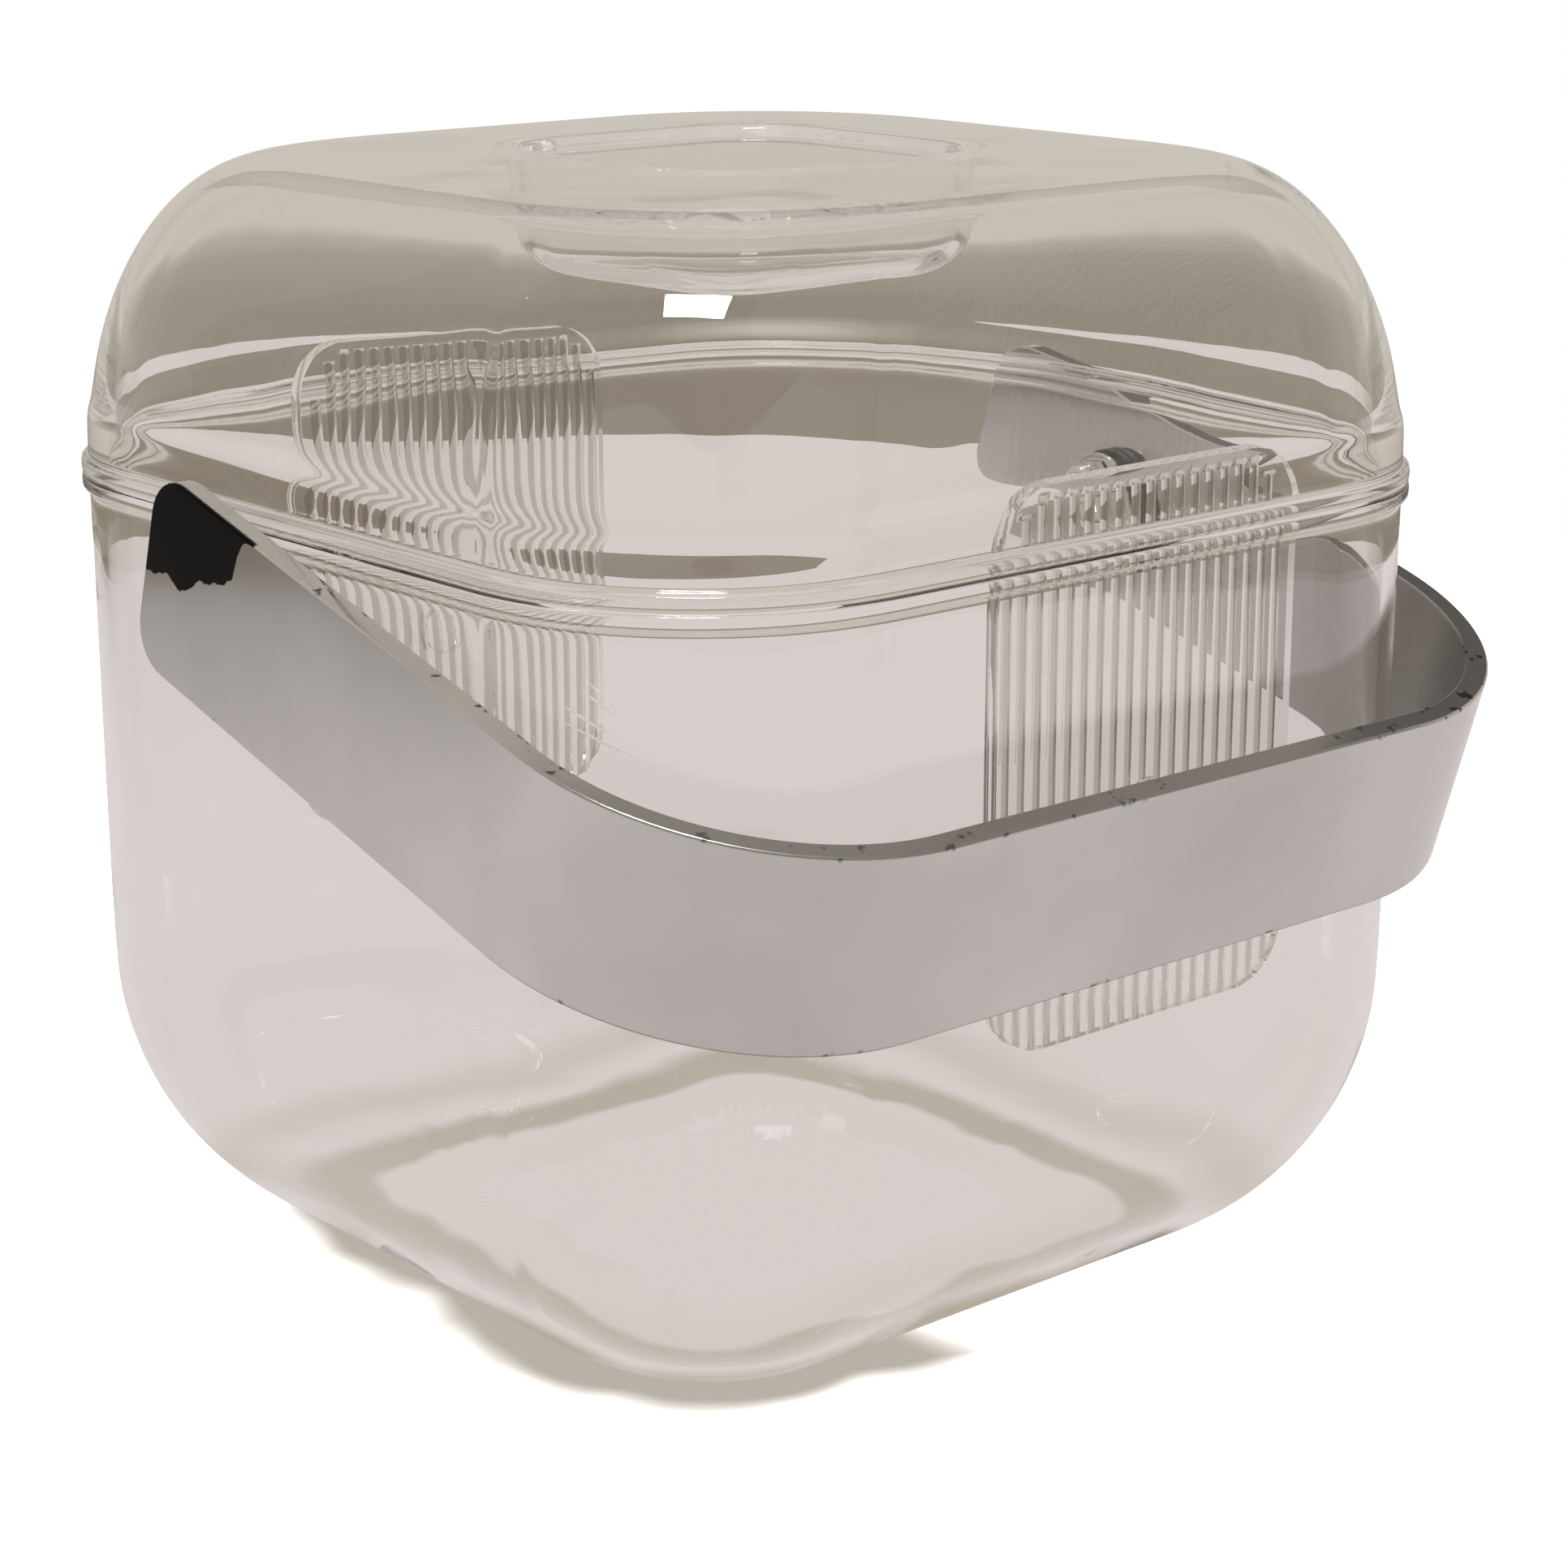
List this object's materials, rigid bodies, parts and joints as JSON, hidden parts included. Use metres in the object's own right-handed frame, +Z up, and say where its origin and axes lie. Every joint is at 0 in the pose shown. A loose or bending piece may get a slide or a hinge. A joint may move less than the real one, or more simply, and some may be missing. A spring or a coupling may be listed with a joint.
{
  "type": "clear carrying box",
  "caption": "Clear rounded-square carrying box with a lift-off domed lid, a wide swinging bail handle and ribbed clear plates standing inside.",
  "frame": {"origin": "centre of the tub's flat base, on the surface it stands on", "axes": "+Z up; X along the handle's pivot axis; the handle is down at the front, towards -Y"},
  "size_m": [0.2312, 0.2392, 0.2272],
  "materials": {
    "tub_acrylic": "clear moulded acrylic, gloss",
    "lid_acrylic": "clear moulded acrylic, gloss",
    "plate_acrylic": "clear ribbed acrylic, gloss",
    "plated_band": "bright plating over black plastic, worn through at one end",
    "plated_steel": "polished plating",
    "spacer_plastic": "black plastic washer"
  },
  "bodies": {
    "tub": {"tub": "tub_acrylic", "ribbed_panel_front": "plate_acrylic", "ribbed_panel_back": "plate_acrylic"},
    "lid": {"lid": "lid_acrylic"},
    "handle": {"handle_band": "plated_band", "pivot_stud_left": "plated_steel", "pivot_stud_right": "plated_steel", "spacer_washer_left": "spacer_plastic", "spacer_washer_right": "spacer_plastic", "inner_washer_left": "plated_steel", "inner_washer_right": "plated_steel", "dome_nut_left": "plated_steel", "dome_nut_right": "plated_steel"}
  },
  "joints": [
    {"name": "lid_lift", "type": "slide", "parent": "tub", "child": "lid", "axis": [0, 0, 1], "range_m": [0, 0.15]},
    {"name": "handle_swing", "type": "hinge", "parent": "tub", "child": "handle", "pos_m": [0, 0, 0.1401], "axis": [-1, 0, 0], "range_deg": [0, 212.8]}
  ]
}
